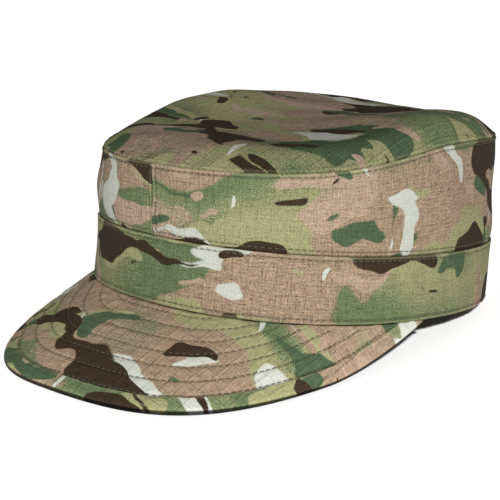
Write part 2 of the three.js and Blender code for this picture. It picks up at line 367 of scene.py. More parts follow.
def turned_from(angle, middle):
    """An angle's turn from a middle that is given in degrees: from -180 to 180 degrees."""
    return (angle / DEGREE - middle + 180) % 360 - 180


def fade(distance, name):
    """An effect's strength at a distance, as FADES gives it."""
    return smoothstep(distance, *FADES[name])


def groove(distance, row, width):
    """How deep a row of stitches pulls the cloth in at a distance."""
    return bpy.context.scene.cap_stitches.sink * bump(distance, row, width)


def crease(name, distance, row=0):
    """Painted shade in a crease of CREASE_SHADES along a row at a distance."""
    strength, width = CREASE_SHADES[name]
    return strength * bump(distance, row, width)


def point(*parts):
    """Points from arrays of x, y and z, which are spread to one shape."""
    return np.stack(np.broadcast_arrays(*parts), axis=-1)


def oval(s, half_length, half_width, angle):
    """Plan of a squarish oval: (sin a, -cos a) times (|sin a / width|^p + |cos a / length|^p)^(-1/p)."""
    across, along = np.sin(angle), -np.cos(angle)
    power = s.oval_power
    radius = (np.abs(across / half_width) ** power + np.abs(along / half_length) ** power) ** (-1 / power)
    return across * radius, along * radius


def rim_half_sizes(s):
    """Half length and half width of the crown's foot, and of its top seam."""
    inset = s.band_wall - s.crown_wall
    foot = (s.band_half_length - inset, s.band_half_width - inset)
    return foot, (foot[0] + s.flare_length, foot[1] + s.flare_width)


def seam_height(s, angle):
    """Height of the top seam above the band's lower edge."""
    return s.crown_height * around_head("height", angle)


def crown_side(s, angle, level):
    """Outer face of the crown's side. Level -1 is its foot inside the band, 0 the band's top edge, 1 the
    top seam. The plan goes from the foot's oval to the seam's, swollen by blouse x sin(pi x root of the
    level), less each dent's bell times sin(pi x level)."""
    foot, rim = rim_half_sizes(s)
    free = np.maximum(level, 0)
    low_x, low_y = oval(s, *foot, angle)
    high_x, high_y = oval(s, *rim, angle)
    x = low_x + (high_x - low_x) * free
    y = low_y + (high_y - low_y) * free
    height = np.where(
        level < 0,
        s.band_height + level * (s.band_step - s.seam_gap),
        s.band_height + (seam_height(s, angle) - s.band_height) * level,
    )
    depth = 0
    for dent in SIDE_DENTS:
        turned = turned_from(angle, dent.around)
        near = (turned / dent.reach_around) ** 2 + ((free - dent.up) / dent.reach_up) ** 2
        depth = depth + dent.depth * s.crown_wall * np.exp(-near)
    swell = s.blouse * np.sin(math.pi * np.sqrt(free)) - depth * np.sin(math.pi * free)
    grow = 1 + swell / np.hypot(x, y)
    return point(x * grow, y * grow, height)


def crown_top(s, angle, inward):
    """Outer face of the top panel, inward from 0 at the seam to 1 at the middle: a flat sheet, held to the
    seam's height near the rim, plus the rise, less the dents' bells."""
    _, rim = rim_half_sizes(s)
    rim_x, rim_y = oval(s, *rim, angle)
    x, y = rim_x * (1 - inward), rim_y * (1 - inward)
    front, back = seam_height(s, np.float64(0)), seam_height(s, np.float64(math.pi))
    sheet = (front + back) / 2 + (back - front) / 2 * y / s.band_half_length
    near_rim = (1 - inward) ** s.rim_power
    base = sheet + (seam_height(s, angle) - sheet) * near_rim
    lean = sum(row.height * bump(turned_from(angle, row.middle), 0, row.width) for row in TOP_LEANS)
    fullness = 1 + (around_head("fullness", angle) + lean - 1) * near_rim
    depth = 0
    for dent in TOP_DENTS:
        dx = x / s.band_half_width - dent.across
        dy = (y / s.band_half_length - dent.along) * s.band_half_length / s.band_half_width
        depth = depth + dent.depth * s.top_rise * np.exp(-(dx**2 + dy**2) / dent.reach**2)
    rise = through(TOP_ROWS["inward"], TOP_ROWS["rise"], inward) * s.top_rise
    held = smoothstep(inward, 0, s.rim_share)
    return point(x, y, base + s.seam_gap + rise * fullness - depth * held)


def bill_top(s, across, inward):
    """Upper face of the bill, across from -1 to 1, inward from 0 at its edge to 1 at the band: straight
    lines from a squarish oval to the band's lower edge, plus a crown of 4t(1 - t)."""
    root_x, root_y = oval(s, s.band_half_length, s.band_half_width, across * s.bill_end)
    root = lay(s, point(root_x, root_y, -s.seam_gap))
    end_x, end_y = oval(s, s.band_half_length, s.band_half_width, np.float64(s.bill_end))
    middle = lay(s, point(end_x, end_y, -s.seam_gap))[1]
    front = lay(s, point(0.0, -s.band_half_length, 0.0))[1] - s.bill_length
    turned = across * math.pi / 2
    far = 1 / (1 + np.exp(8 * across))
    corner = s.bill_corner + (s.bill_far_corner - s.bill_corner) * far
    bulge = (s.bill_overhang + s.bill_far_overhang * far) * (1 - np.abs(across) ** 8)
    wide = np.abs(np.sin(turned) / (end_x + bulge)) ** corner
    long = np.abs(np.cos(turned) / (middle - front)) ** corner
    radius = (wide + long) ** (-1 / corner)
    out = (np.abs(across) - s.bill_lift_start) / (1 - s.bill_lift_start)
    lift = np.clip(out, 0, 1) ** s.bill_lift_power
    edge_low = s.bill_wall * s.bill_edge
    edge_height = edge_low + (root[..., 2] - edge_low) * lift
    shift = s.bill_lean * np.cos(turned)
    edge = point(np.sin(turned) * radius + shift, middle - np.cos(turned) * radius, edge_height)
    flat = edge + (root - edge) * inward[..., None]
    crown = s.bill_crown * 4 * inward * (1 - inward) * (1 - lift)
    return flat + point(0.0, 0.0, crown)


def lay(s, points):
    """From the cap's own frame, level with the band, to its lie: a turn by the tilt about the back of the
    band's lower edge, lowered by what is pressed flat there, with nothing below the surface."""
    sine, cosine = math.sin(s.rest_tilt), math.cos(s.rest_tilt)
    x, y, z = points[..., 0], points[..., 1] - s.band_half_length, points[..., 2]
    height = z * cosine - y * sine - s.rest_flat
    return point(x, s.band_half_length + y * cosine + z * sine, np.maximum(height, 0))


def to_frame(s, points):
    """From the laid cap's frame to the solid model's, whose origin is under the middle of its outline."""
    back = lay(s, point(0.0, s.band_half_length, s.band_height))[1]
    return points + np.array((0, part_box("band")[1].y - back, 0))


def upright(s):
    """Takes points of the crown and band from the cap's own frame to the solid model's."""
    return lambda points: to_frame(s, lay(s, points))


def resting(s):
    """Takes points of the bill, given as laid down, to the solid model's frame, none below it."""
    return lambda points: to_frame(s, np.maximum(points, (-9, -9, 0)))


def graded(*stretches):
    """One rising row of stops from stretches of (start, end, steps), which follow each other."""
    parts = [np.linspace(start, end, steps, endpoint=False) for start, end, steps in stretches]
    return np.append(np.concatenate(parts), stretches[-1][1])


def normals(points, wrap):
    """Unit normals of a grid, by the cross product of its steps both ways. Where it wraps, the first and
    last column are neighbours."""
    if wrap:
        along = np.roll(points, -1, axis=0) - np.roll(points, 1, axis=0)
    else:
        along = np.gradient(points, axis=0)
    crossed = np.cross(along, np.gradient(points, axis=1))
    return crossed / np.maximum(np.linalg.norm(crossed, axis=-1, keepdims=True), 1e-12)


def run(points, axis):
    """Distance along a grid's rows or columns from their start."""
    steps = np.linalg.norm(np.diff(points, axis=axis), axis=-1)
    start = np.zeros_like(np.take(steps, [0], axis=axis))
    return np.concatenate([start, np.cumsum(steps, axis=axis)], axis=axis)


def rounding(distance, radius):
    """How thick a wall is near its edge, as a share: a half circle of that radius, then 1."""
    near = np.clip(distance / radius, 0, 1)
    return np.sqrt(np.clip(1 - (1 - near) ** 2, 0, 1))


def waves(name, u, v, other=0):
    """Soft unevenness by a row of WAVES: the height times a third of the sum of nine sines in seeded
    directions and phases, two thirds to twice the wavelength long. Other moves the seed."""
    row = WAVES[name]
    rng = np.random.default_rng(row.seed + other)
    total = 0
    for way, phase, stretch in zip(
        rng.uniform(0, 2 * math.pi, 9), rng.uniform(0, 2 * math.pi, 9), rng.uniform(0.66, 2, 9)
    ):
        along = u * math.cos(way) + v * math.sin(way)
        total = total + np.sin(2 * math.pi * along / (row.wavelength * stretch) + phase)
    return row.height * (total / 3)


def puckers(name, along, distance, other=0):
    """Small waves along a row of stitches, by a row of PUCKERS: the sum of five seeded sines of the
    distance along it over 2.2, times e to the minus distance over reach. Other moves the seed."""
    row = PUCKERS[name]
    rng = np.random.default_rng(row.seed + other)
    total = 0
    for phase, stretch in zip(rng.uniform(0, 2 * math.pi, 5), rng.uniform(0.7, 1.9, 5)):
        total = total + np.sin(2 * math.pi * along / (row.wavelength * stretch) + phase)
    return total / 2.2 * np.exp(-np.abs(distance) / row.reach)


# Meshes


def shell(name, outer, normal, thickness, edge, relief, uv, settle, marks, wrap=False, pole=False):
    """A closed wall on a grid. Its middle surface lies half the thickness inside the outer face; the
    outside is that plus the normal times (half thickness x edge + relief), and the inside is that less the
    normal times half thickness x edge. Edge is 0 on open borders, where both sides meet. Where there is a
    pole, the last row is one point. Marks are named values for the outside, or pairs for the outside and
    the inside."""
    columns, rows = outer.shape[:2]
    half = (np.broadcast_to(thickness, (columns, rows)) / 2)[..., None]
    middle = outer - normal * half
    face = middle + normal * (half * edge[..., None] + relief[..., None])
    back = middle - normal * (half * edge[..., None])
    vertices = settle(np.concatenate([face.reshape(-1, 3), back.reshape(-1, 3)]))
    outside = np.arange(columns * rows).reshape(columns, rows)
    inside = np.where(edge > 0, outside + columns * rows, outside)
    if pole:
        outside[:, -1] = outside[0, -1]
        inside[:, -1] = inside[0, -1]
    quads, quad_uvs, tris, tri_uvs = [], [], [], []
    for index, turned in ((outside, False), (inside, True)):
        looped = np.concatenate([index, index[:1]]) if wrap else index
        corners = [looped[:-1, :-1], looped[1:, :-1], looped[1:, 1:], looped[:-1, 1:]]
        places = [uv[:-1, :-1], uv[1:, :-1], uv[1:, 1:], uv[:-1, 1:]]
        faces = np.stack(corners, axis=-1)
        face_uvs = np.stack(places, axis=2)
        if turned:
            faces, face_uvs = faces[..., ::-1], face_uvs[:, :, ::-1]
        last = faces.shape[1] - 1 if pole else faces.shape[1]
        quads.append(faces[:, :last].reshape(-1, 4))
        quad_uvs.append(face_uvs[:, :last].reshape(-1, 4, 2))
        if pole:
            keep = [1, 2, 3] if turned else [0, 1, 2]
            tris.append(faces[:, last][:, keep])
            tri_uvs.append(face_uvs[:, last][:, keep])
    quads = np.concatenate(quads)
    tris = np.concatenate(tris) if tris else np.zeros((0, 3), int)
    loops = [np.concatenate(quad_uvs).reshape(-1, 2)]
    if pole:
        loops.append(np.concatenate(tri_uvs).reshape(-1, 2))
    used, new = np.unique(np.concatenate([quads.ravel(), tris.ravel()]), return_inverse=True)
    quads, tris = new[: quads.size].reshape(-1, 4), new[quads.size :].reshape(-1, 3)
    values = {"inside": (used >= columns * rows).astype(float)}
    for mark, given in marks.items():
        sides = given if isinstance(given, tuple) else (given, 0)
        flat = np.concatenate([np.broadcast_to(side, (columns, rows)).ravel() for side in sides])
        values[mark] = flat[used]
    return make_mesh(name, vertices[used], quads.tolist() + tris.tolist(), np.concatenate(loops), values)


def make_mesh(name, vertices, faces, uvs=None, values=None):
    """A smooth mesh object at the origin, with its UV map and its named values."""
    mesh = bpy.data.meshes.new(name)
    mesh.from_pydata(vertices, [], faces)
    if uvs is not None:
        mesh.uv_layers.new(name="cloth").data.foreach_set("uv", uvs.astype(np.float32).ravel())
    for key, value in (values or {}).items():
        mesh.attributes.new(key, "FLOAT", "POINT").data.foreach_set("value", value.astype(np.float32))
    mesh.shade_smooth()
    mesh.update()
    piece = bpy.data.objects.new(name, mesh)
    bpy.context.scene.collection.objects.link(piece)
    return piece


def finish_piece(piece, material, slot, *nodes):
    """Gives a piece its material, in place of its solids, and lets it ride on the body."""
    piece.data.materials.append(material)
    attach(piece, BODY)
    if nodes:
        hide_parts(*nodes)
    return piece


def clothe(node, slot, cut, form, marks, **closing):
    """A piece of cloth in place of its solid: a shell of a form, in its own cut of the print."""
    piece = shell(f"{node}_cloth", *form, marks, **closing)
    return finish_piece(piece, cloth_material(cut), slot, node)


def sample(grid, column, row, wrap=False):
    """Values of a grid at fractional columns and rows, straight between its points."""
    columns, rows = grid.shape[:2]
    low_column = np.floor(column).astype(int)
    low_row = np.clip(np.floor(row).astype(int), 0, rows - 2)
    across, up = (column - low_column)[..., None], (row - low_row)[..., None]
    if wrap:
        first, second = low_column % columns, (low_column + 1) % columns
    else:
        first = np.clip(low_column, 0, columns - 2)
        across = (column - first)[..., None]
        second = first + 1
    lower = grid[first, low_row] * (1 - across) + grid[second, low_row] * across
    upper = grid[first, low_row + 1] * (1 - across) + grid[second, low_row + 1] * across
    return lower * (1 - up) + upper * up


def on_cloth(face, normal, column, row, wrap=False):
    """A path on a piece of cloth, and the cloth's normals along it."""
    return sample(face, column, row, wrap), sample(normal, column, row, wrap)


# How a stitch lies: stations along it from -1 to 1, its height over the cloth and its thickness, in thread
# radii
STITCH_ROWS = {
    "along": (-1.0, -0.82, -0.45, 0.0, 0.45, 0.82, 1.0),
    "height": (-1.1, 0.15, 0.75, 0.9, 0.75, 0.15, -1.1),
    "thick": (0.55, 0.95, 1.05, 1.08, 1.05, 0.95, 0.55),
}
STITCH_SIDES = 6


def stitches(path, up, t):
    """A row of stitches along a path, one each pitch: closed tubes whose stations follow the path, with the
    heights and radii of STITCH_ROWS. Gives vertices and faces."""
    gone = run(path[:, None], 0)[:, 0]
    count = int((gone[-1] - t.stitch) / t.pitch) + 1
    if count < 1:
        return None
    start = (gone[-1] - (count - 1) * t.pitch) / 2
    middles = start + np.arange(count) * t.pitch
    stations = np.array(STITCH_ROWS["along"]) * t.stitch / 2
    at = middles[:, None] + stations

    def follow(table):
        return np.stack([np.interp(at, gone, table[:, k]) for k in range(3)], axis=-1)

    out = follow(up)
    out /= np.linalg.norm(out, axis=-1, keepdims=True)
    along = follow(np.gradient(path, axis=0))
    aside = np.cross(along, out)
    aside /= np.linalg.norm(aside, axis=-1, keepdims=True)
    spine = follow(path) + out * (np.array(STITCH_ROWS["height"]) * t.thread)[:, None]
    turned = np.arange(STITCH_SIDES) / STITCH_SIDES * 2 * math.pi
    thick = (np.array(STITCH_ROWS["thick"]) * t.thread)[:, None, None]
    ring = np.cos(turned)[:, None] * out[:, :, None] + np.sin(turned)[:, None] * aside[:, :, None]
    tube = (spine[:, :, None] + ring * thick).reshape(count, -1, 3)
    every = np.concatenate([tube, spine[:, :1], spine[:, -1:]], axis=1)
    steps, sides = len(stations), STITCH_SIDES
    index = np.arange(steps * sides).reshape(steps, sides)
    after = np.roll(index, -1, axis=1)
    quads = np.stack([index[:-1], index[1:], after[1:], after[:-1]], axis=-1).reshape(-1, 4)
    first = np.stack([index[0], after[0], np.full(sides, steps * sides)], axis=-1)
    last = np.stack([after[-1], index[-1], np.full(sides, steps * sides + 1)], axis=-1)
    shift = (np.arange(count) * every.shape[1])[:, None, None]
    ends = np.concatenate([first, last])
    return every.reshape(-1, 3), (quads + shift).reshape(-1, 4), (ends + shift).reshape(-1, 3)


def thread_piece(name, rows, slot, settle):
    """One mesh of the stitches of several rows, each given as its path and the cloth's normals there."""
    t = bpy.context.scene.cap_stitches
    vertices, quads, tris, count = [], [], [], 0
    for path, up in rows:
        made = stitches(path, up, t)
        if made is None:
            continue
        vertices.append(made[0])
        quads.append(made[1] + count)
        tris.append(made[2] + count)
        count += len(made[0])
    places = settle(np.concatenate(vertices))
    faces = np.concatenate(quads).tolist() + np.concatenate(tris).tolist()
    return finish_piece(make_mesh(name, places, faces), thread_material(), slot)


# Shading


def add(tree, kind, made=None, **inputs):
    """A node of a kind, or one that holds a group, with inputs set: a socket is linked, a value written."""
    node = tree.nodes.new(kind)
    if made:
        node.node_tree = made
    for key, value in inputs.items():
        put(tree, node.inputs[key.replace("_", " ")], value)
    return node


def put(tree, socket, value):
    """Links a socket to an input, or writes a value to it."""
    if isinstance(value, bpy.types.NodeSocket):
        tree.links.new(value, socket)
    else:
        socket.default_value = value


def calc(tree, operation, *values, kind="ShaderNodeMath"):
    """One step of arithmetic; gives its result's socket."""
    node = tree.nodes.new(kind)
    node.operation = operation
    for socket, value in zip(node.inputs, values):
        put(tree, socket, value)
    return node.outputs[0]


def vector_calc(tree, operation, *values):
    """One step of vector arithmetic; gives its result's socket."""
    return calc(tree, operation, *values, kind="ShaderNodeVectorMath")


def multiply(tree, first, *others):
    """The product of several values."""
    for other in others:
        first = calc(tree, "MULTIPLY", first, other)
    return first


def ease(tree, value, low, high):
    """0 below low, 1 above high and smooth between."""
    node = tree.nodes.new("ShaderNodeMapRange")
    node.interpolation_type = "SMOOTHSTEP"
    for key, given in (("Value", value), ("From Min", low), ("From Max", high)):
        put(tree, node.inputs[key], given)
    return node.outputs["Result"]


def noise(tree, vector, scale, detail=0.0, roughness=0.5):
    """Smooth noise from 0 to 1 at a scale in features a metre."""
    node = add(tree, "ShaderNodeTexNoise", Vector=vector, Scale=scale, Detail=detail, Roughness=roughness)
    return node.outputs["Fac"]


def swing(tree, vector, *looks):
    """Smooth noise from -0.5 to 0.5."""
    return calc(tree, "SUBTRACT", noise(tree, vector, *looks), 0.5)


def attribute(tree, name):
    """A named value of the mesh."""
    node = tree.nodes.new("ShaderNodeAttribute")
    node.attribute_name = name
    return node.outputs["Fac"]


def mix(tree, factor, first, second, kind="MIX"):
    """A mix of two colours."""
    node = tree.nodes.new("ShaderNodeMix")
    node.data_type = "RGBA"
    node.blend_type = kind
    for socket, value in ((node.inputs[0], factor), (node.inputs[6], first), (node.inputs[7], second)):
        put(tree, socket, value)
    return node.outputs[2]


def group(name, inputs, outputs, build):
    """A shader node group, built once: inputs and outputs are the sockets' types by name, and build gets
    the tree and its input sockets by name and gives its results by name."""
    made = bpy.data.node_groups.get(name)
    if made:
        return made
    made = bpy.data.node_groups.new(name, "ShaderNodeTree")
    for way, sockets in (("INPUT", inputs), ("OUTPUT", outputs)):
        for label, kind in sockets.items():
            made.interface.new_socket(name=label, in_out=way, socket_type=f"NodeSocket{kind}")
    start = made.nodes.new("NodeGroupInput")
    end = made.nodes.new("NodeGroupOutput")
    results = build(made, {socket.name: socket for socket in start.outputs if socket.name})
    for label, result in results.items():
        made.links.new(result, end.inputs[label])
    return made


# The weave, in metres: how far its lines wander, from where a heavy yarn and the dark line beside it fade
# to where they are gone, and how far apart those two lie; then the cell's width as a share of its height
WANDER = 0.0012
HEAVY_YARN = (0.00008, 0.00042)
DARK_LINE = (0.0001, 0.00048)
LINE_GAP = 0.00062
CELL_SHAPE = 0.78


GROUP = "ShaderNodeGroup"


def weave_group():
    """Ripstop weave on flat cloth coordinates: uneven yarns both ways, and in each cell a heavy yarn with a
    dark line beside it. Tone is the change of brightness, and Height the relief."""

    def build(tree, given):
        place = given["Vector"]
        flat = add(tree, "ShaderNodeSeparateXYZ", Vector=place)
        wobble = multiply(tree, swing(tree, place, 90.0), WANDER)
        speck = swing(tree, place, 1250.0, 1.0, 0.6)
        tone = multiply(tree, speck, given["Speckle"])
        height = multiply(tree, speck, 1.6)
        for first, second, cell in (
            (flat.outputs[0], flat.outputs[1], multiply(tree, given["Cell"], CELL_SHAPE)),
            (flat.outputs[1], flat.outputs[0], given["Cell"]),
        ):
            slub = add(
                tree,
                "ShaderNodeCombineXYZ",
                X=calc(tree, "DIVIDE", first, multiply(tree, given["Yarn"], 8.0)),
                Y=calc(tree, "DIVIDE", second, given["Yarn"]),
            )
            uneven = swing(tree, slub.outputs[0], 0.9, 1.0, 0.6)
            part = calc(tree, "FRACT", calc(tree, "DIVIDE", calc(tree, "ADD", second, wobble), cell))
            away = multiply(tree, calc(tree, "SUBTRACT", part, 0.5), cell)
            heavy = calc(tree, "SUBTRACT", 1.0, ease(tree, calc(tree, "ABSOLUTE", away), *HEAVY_YARN))
            aside = calc(tree, "ABSOLUTE", calc(tree, "ADD", away, LINE_GAP))
            beside = calc(tree, "SUBTRACT", 1.0, ease(tree, aside, *DARK_LINE))
            tone = calc(tree, "MULTIPLY_ADD", uneven, given["Uneven"], tone)
            tone = calc(tree, "MULTIPLY_ADD", heavy, multiply(tree, given["Lines"], 0.7), tone)
            tone = calc(tree, "SUBTRACT", tone, multiply(tree, beside, given["Lines"]))
            height = calc(tree, "ADD", calc(tree, "MULTIPLY_ADD", uneven, 1.5, height), heavy)
        return {"Tone": tone, "Height": height}

    inputs = {"Vector": "Vector"} | dict.fromkeys(("Cell", "Yarn", "Uneven", "Speckle", "Lines"), "Float")
    return group("ripstop_weave", inputs, {"Tone": "Float", "Height": "Float"}, build)


# The print's layers over its ground: how many motifs a metre lengthways and across, from which level the
# noise shows, how soft its edge is, how much the yarns break that edge up, and how strongly the weave shows
Layer = namedtuple("Layer", "colour wide high start soft broken weave")
PRINT_LAYERS = (
    Layer("Green", 9, 16, 0.415, 0.25, 0.5, 1.0),
    Layer("Tan", 11, 21, 0.515, 0.016, 0.03, 1.3),
    Layer("Pale", 17, 36, 0.64, 0.014, 0.02, 1.1),
    Layer("Green", 14, 30, 0.61, 0.07, 0.3, 1.0),
    Layer("Ground", 24, 42, 0.62, 0.014, 0.02, 0.8),
    Layer("Leaf", 34, 58, 0.64, 0.014, 0.03, 0.9),
    Layer("Pale", 48, 84, 0.70, 0.014, 0.02, 0.9),
    Layer("Light", 15, 42, 0.665, 0.010, 0.0, 0.35),
    Layer("Light", 80, 30, 0.72, 0.012, 0.0, 0.35),
    Layer("Dark", 20, 44, 0.62, 0.009, 0.01, 0.8),
    Layer("Dark", 46, 78, 0.71, 0.010, 0.01, 0.8),
)

# The print's colours, how strongly the weave shows on its ground, and how far apart the layers' seeds lie
PRINT_COLOURS = ("Ground", "Tan", "Pale", "Green", "Leaf", "Light", "Dark")
GROUND_WEAVE = 0.8
LAYER_STEP = 7.31

# How the print's motifs are bent: the scale of the noise, and how far it pushes them both ways, in metres
BENDS = ((36.0, (0.036, 0.020, 0.0)), (95.0, (0.009, 0.007, 0.0)))


def print_group():
    """A generic camouflage on flat cloth coordinates: layers of smooth warped noise, each cut at a
    level."""

    def build(tree, given):
        place = given["Vector"]
        for scale, push in BENDS:
            bend = add(tree, "ShaderNodeTexNoise", Vector=given["Vector"], Scale=scale, Detail=0.0)
            pushed = vector_calc(tree, "SUBTRACT", bend.outputs["Color"], (0.5, 0.5, 0.5))
            place = vector_calc(tree, "ADD", place, vector_calc(tree, "MULTIPLY", pushed, push))
        grain = swing(tree, given["Vector"], 1500.0, 1.0)
        colour, shows = given["Ground"], GROUND_WEAVE
        for number, layer in enumerate(PRINT_LAYERS):
            scaled = vector_calc(tree, "MULTIPLY", place, (layer.wide, layer.high, 1.0))
            seed = calc(tree, "ADD", given["Seed"], number * LAYER_STEP)
            spot = vector_calc(tree, "ADD", scaled, add(tree, "ShaderNodeCombineXYZ", Z=seed).outputs[0])
            level = calc(tree, "ADD", noise(tree, spot, 1.0, 1.0, 0.3), multiply(tree, grain, layer.broken))
            mask = ease(tree, level, layer.start, layer.start + layer.soft)
            colour = mix(tree, mask, colour, given[layer.colour])
            kept = multiply(tree, shows, calc(tree, "SUBTRACT", 1.0, mask))
            shows = calc(tree, "MULTIPLY_ADD", mask, layer.weave, kept)
        return {"Color": colour, "Weave": shows}

    inputs = {"Vector": "Vector", "Seed": "Float"} | dict.fromkeys(PRINT_COLOURS, "Color")
    return group("generic_camouflage", inputs, {"Color": "Color", "Weave": "Float"}, build)


def new_material(name, roughness):
    """A plain material; gives it, its tree and its shader."""
    material = bpy.data.materials.new(name)
    material.use_nodes = True
    shader = material.node_tree.nodes["Principled BSDF"]
    shader.inputs["Roughness"].default_value = roughness
    return material, material.node_tree, shader


def give(tree, shader, colour, strength, distance, height):
    """Links a shader's colour, and a bump of a strength and distance made from a height."""
    relief = add(tree, "ShaderNodeBump", Strength=strength, Distance=distance, Height=height)
    tree.links.new(colour, shader.inputs["Base Color"])
    tree.links.new(relief.outputs[0], shader.inputs["Normal"])


# The change of tone where a mark of painted shade on the mesh is full, under the bill's edge and in
# creases, how far the hem's cut of the print lies from its panel's, how much of the print is lost on the
# wrong side, how much of it gives way on a fold to a paler tone that is partly wear and partly painted
# highlight, and the wrong side's colour
PAINTED_SHADE = {"shade": -0.94, "crease": -0.4}
HEM_CUT = 5.3
WRONG_SIDE_SHARE = 0.6
FOLD_SHARE = 0.25
WRONG_SIDE = (0.2, 0.19, 0.12, 1)


def cloth_material(name):
    """Printed ripstop in the name's cut: the print times the weave's tone, paler on folds from wear and a
    painted highlight, with painted shade in creases and at the bill's edge, and faded on the wrong side,
    with the weave's height as bump."""
    cut = CUTS[name]
    c = bpy.context.scene.cap_cloth
    material, tree, shader = new_material(name, roughness=0.88)
    shader.inputs["Specular IOR Level"].default_value = 0.08
    spread = tree.nodes.new("ShaderNodeUVMap")
    spread.uv_map = "cloth"
    shift = (cut.lengthways, cut.across, 0.0)
    place = add(tree, "ShaderNodeMapping", Vector=spread.outputs[0], Location=shift).outputs[0]
    looks = {"Cell": c.cell, "Yarn": c.yarn, "Lines": cut.lines, "Uneven": 0.8, "Speckle": 1.3}
    weave = add(tree, GROUP, weave_group(), Vector=place, **looks)
    on_hem = calc(tree, "GREATER_THAN", attribute(tree, "hem"), 0.5)
    seed = calc(tree, "ADD", multiply(tree, on_hem, HEM_CUT), cut.seed)
    colours = {key: (*getattr(c, key.lower()), 1) for key in PRINT_COLOURS}
    printed = add(tree, GROUP, print_group(), Vector=place, Seed=seed, **colours)
    faded = multiply(tree, attribute(tree, "inside"), WRONG_SIDE_SHARE)
    cloth = mix(tree, faded, printed.outputs["Color"], WRONG_SIDE)
    # Paler on folds: partly wear, partly painted highlight
    cloth = mix(tree, multiply(tree, attribute(tree, "fold"), FOLD_SHARE), cloth, (*c.wear_and_highlight, 1))
    # The cut's tone scales the colour; the bill's higher tone is painted light for how the light falls
    # there
    tone = calc(tree, "MULTIPLY_ADD", weave.outputs["Tone"], printed.outputs["Weave"], cut.tone)
    # Painted shade: darker where the shade under the bill's edge and the shade in creases are full
    for mark, change in PAINTED_SHADE.items():
        tone = multiply(tree, tone, calc(tree, "MULTIPLY_ADD", attribute(tree, mark), change, 1.0))
    grey = add(tree, "ShaderNodeCombineColor", Red=tone, Green=tone, Blue=tone)
    colour = mix(tree, 1.0, cloth, grey.outputs[0], "MULTIPLY")
    give(tree, shader, colour, strength=0.7, distance=0.00016, height=weave.outputs["Height"])
    return material


def thread_material():
    """Twisted sewing thread: a slight change of tone along it."""
    name = "sewing_thread"
    made = bpy.data.materials.get(name)
    if made:
        return made
    material, tree, shader = new_material(name, roughness=0.7)
    place = tree.nodes.new("ShaderNodeTexCoord")
    speck = noise(tree, place.outputs["Object"], 2600.0, 1.0)
    colour = bpy.context.scene.cap_cloth.thread
    darker = (*[part * 0.7 for part in colour], 1)
    lighter = (*[min(part * 1.35, 1) for part in colour], 1)
    give(tree, shader, mix(tree, speck, darker, lighter), strength=0.5, distance=0.00008, height=speck)
    return material


# Operators


class CapOperator:
    """What the cap's operators share."""

    bl_options = {"REGISTER", "UNDO"}

    @classmethod
    def poll(cls, context):
        return context.scene is not None


class CAP_OT_crown_top(CapOperator, bpy.types.Operator):
    """Build the oval top panel, with its rim puckered along the seam"""

    bl_idname = "cap.crown_top"
    bl_label = "Crown Top"

    def execute(self, context):
        s, t = context.scene.cap_sizes, context.scene.cap_stitches
        angle = np.linspace(0, 2 * math.pi, 521)[:-1]
        inward = graded((0, 0.012, 8), (0.012, 0.1, 20), (0.1, 0.4, 20), (0.4, 1, 12))
        around, way = np.meshgrid(angle, inward, indexing="ij")
        outer = crown_top(s, around, way)
        normal = normals(outer, wrap=True)
        normal[:, -1] = (0, 0, 1)
        distance = run(outer, 1)
        relief = t.pucker * TOP_PUCKERS * puckers("top panel", around * s.band_half_length, distance)
        relief += bell(distance, RIDGES["top panel"])
        relief += waves("top panel", outer[..., 0], outer[..., 1]) * fade(distance, "top waves")
        edge = rounding(distance, s.crown_wall / 2)
        plan = outer[..., :2]
        uv = np.concatenate([plan, plan[:1]])
        form = (outer, normal, s.crown_wall, edge, relief * edge, uv, upright(s))
        # Paler tone along the rim's fold, partly wear and partly painted highlight, and painted shade in
        # the seam's line
        marks = {"fold": bell(distance, FOLDS["top panel"]), "crease": crease("top line", distance)}
        clothe("crown_top", "crown_cloth", "top_cloth", form, marks, wrap=True, pole=True)
        return {"FINISHED"}


def side_grid(s, side):
    """The crown's side on one half of the head, as angles, levels and points. Side is 1 on the wearer's
    left."""
    half = s.seam_gap / 2 / s.band_half_length
    front = graded((half, 0.012, 10), (0.012, 0.06, 12), (0.06, math.pi / 2, 165))
    angle = np.concatenate([front, math.pi - front[-2::-1]])
    level = graded((-1, 0, 6), (0, 0.1, 13), (0.1, 0.88, 26), (0.88, 0.98, 12), (0.98, 1, 7))
    if side < 0:
        angle = -angle[::-1]
    around, up = np.meshgrid(angle, level, indexing="ij")
    return around, up, crown_side(s, around, up)


